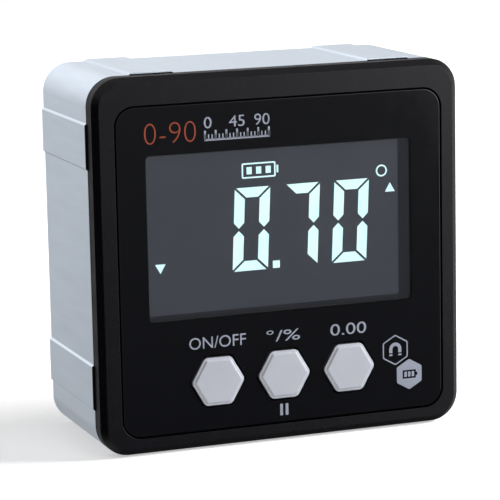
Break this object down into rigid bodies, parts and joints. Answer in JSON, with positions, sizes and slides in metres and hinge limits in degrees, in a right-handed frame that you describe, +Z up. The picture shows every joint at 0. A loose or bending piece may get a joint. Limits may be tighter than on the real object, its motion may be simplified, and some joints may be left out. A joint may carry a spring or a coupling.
{
  "type": "digital inclinometer",
  "caption": "Square metal angle gauge with a black front, a lit number display, hexagonal push buttons and raised magnetic measuring lands on its narrow faces.",
  "frame": {"origin": "middle of the base, on the surface that the lower lands stand on", "axes": "+Z up, -Y out of the display, +X to the right of someone who reads the display"},
  "size_m": [0.0606, 0.0268, 0.0588],
  "materials": {
    "body_metal": "bead-blasted and clear anodised, satin",
    "magnet": "nickel-plated",
    "bezel_plastic": "charcoal, fine moulded grain",
    "cover_plastic": "charcoal, fine moulded grain",
    "front_panel": "polished acrylic",
    "print_ink": "matt black print",
    "black_rubber": "matt",
    "display_glass": "dark display with lit segments",
    "light_guide": "milky",
    "white_plastic": "moulded",
    "button_plastic": "pale grey, satin",
    "chip_black": "moulded",
    "circuit_board": "green solder mask",
    "dark_foam": "matt",
    "lead_sheath": "insulated flat lead",
    "cell_wrap": "foil",
    "socket_shell": "plated",
    "screw_steel": "zinc-plated"
  },
  "bodies": {
    "case": {"body_frame": "body_metal", "magnet_left_lower": "magnet", "magnet_left_upper": "magnet", "magnet_right_lower": "magnet", "magnet_right_upper": "magnet", "magnet_top_left": "magnet", "magnet_top_right": "magnet", "magnet_bottom_left": "magnet", "magnet_bottom_right": "magnet", "front_bezel": "bezel_plastic", "front_panel": "front_panel", "panel_print": "print_ink", "front_gasket": "black_rubber", "lcd_glass": "display_glass", "backlight_plate": "light_guide", "lcd_bracket": "white_plastic", "lcd_connector": "dark_foam", "button_seal": "black_rubber", "power_switch": "chip_black", "mode_switch": "chip_black", "zero_switch": "chip_black", "main_board": "circuit_board", "processor_chip": "chip_black", "angle_sensor": "chip_black", "battery_pad": "dark_foam", "battery_cell": "cell_wrap", "battery_lead": "lead_sheath", "board_screw_1": "screw_steel", "board_screw_2": "screw_steel", "board_screw_3": "screw_steel", "board_screw_4": "screw_steel", "rear_gasket": "black_rubber", "back_cover": "cover_plastic", "charge_board": "circuit_board", "charge_lead": "lead_sheath", "charging_socket": "socket_shell", "back_screw_1": "screw_steel", "back_screw_2": "screw_steel", "back_screw_3": "screw_steel", "back_screw_4": "screw_steel"},
    "power_key": {"power_button": "button_plastic", "power_plunger": "white_plastic"},
    "mode_key": {"mode_button": "button_plastic", "mode_plunger": "white_plastic"},
    "zero_key": {"zero_button": "button_plastic", "zero_plunger": "white_plastic"},
    "flap": {"port_flap": "black_rubber"}
  },
  "joints": [
    {"name": "power_press", "type": "slide", "parent": "case", "child": "power_key", "axis": [0, 1, 0], "range_m": [0, 0.00035], "stiffness_N_per_m": 1200},
    {"name": "mode_press", "type": "slide", "parent": "case", "child": "mode_key", "axis": [0, 1, 0], "range_m": [0, 0.00035], "stiffness_N_per_m": 1200},
    {"name": "zero_press", "type": "slide", "parent": "case", "child": "zero_key", "axis": [0, 1, 0], "range_m": [0, 0.00035], "stiffness_N_per_m": 1200},
    {"name": "flap_hinge", "type": "hinge", "parent": "case", "child": "flap", "pos_m": [0, 0.0132, 0.0146], "axis": [1, 0, 0], "range_deg": [0, 100]}
  ]
}
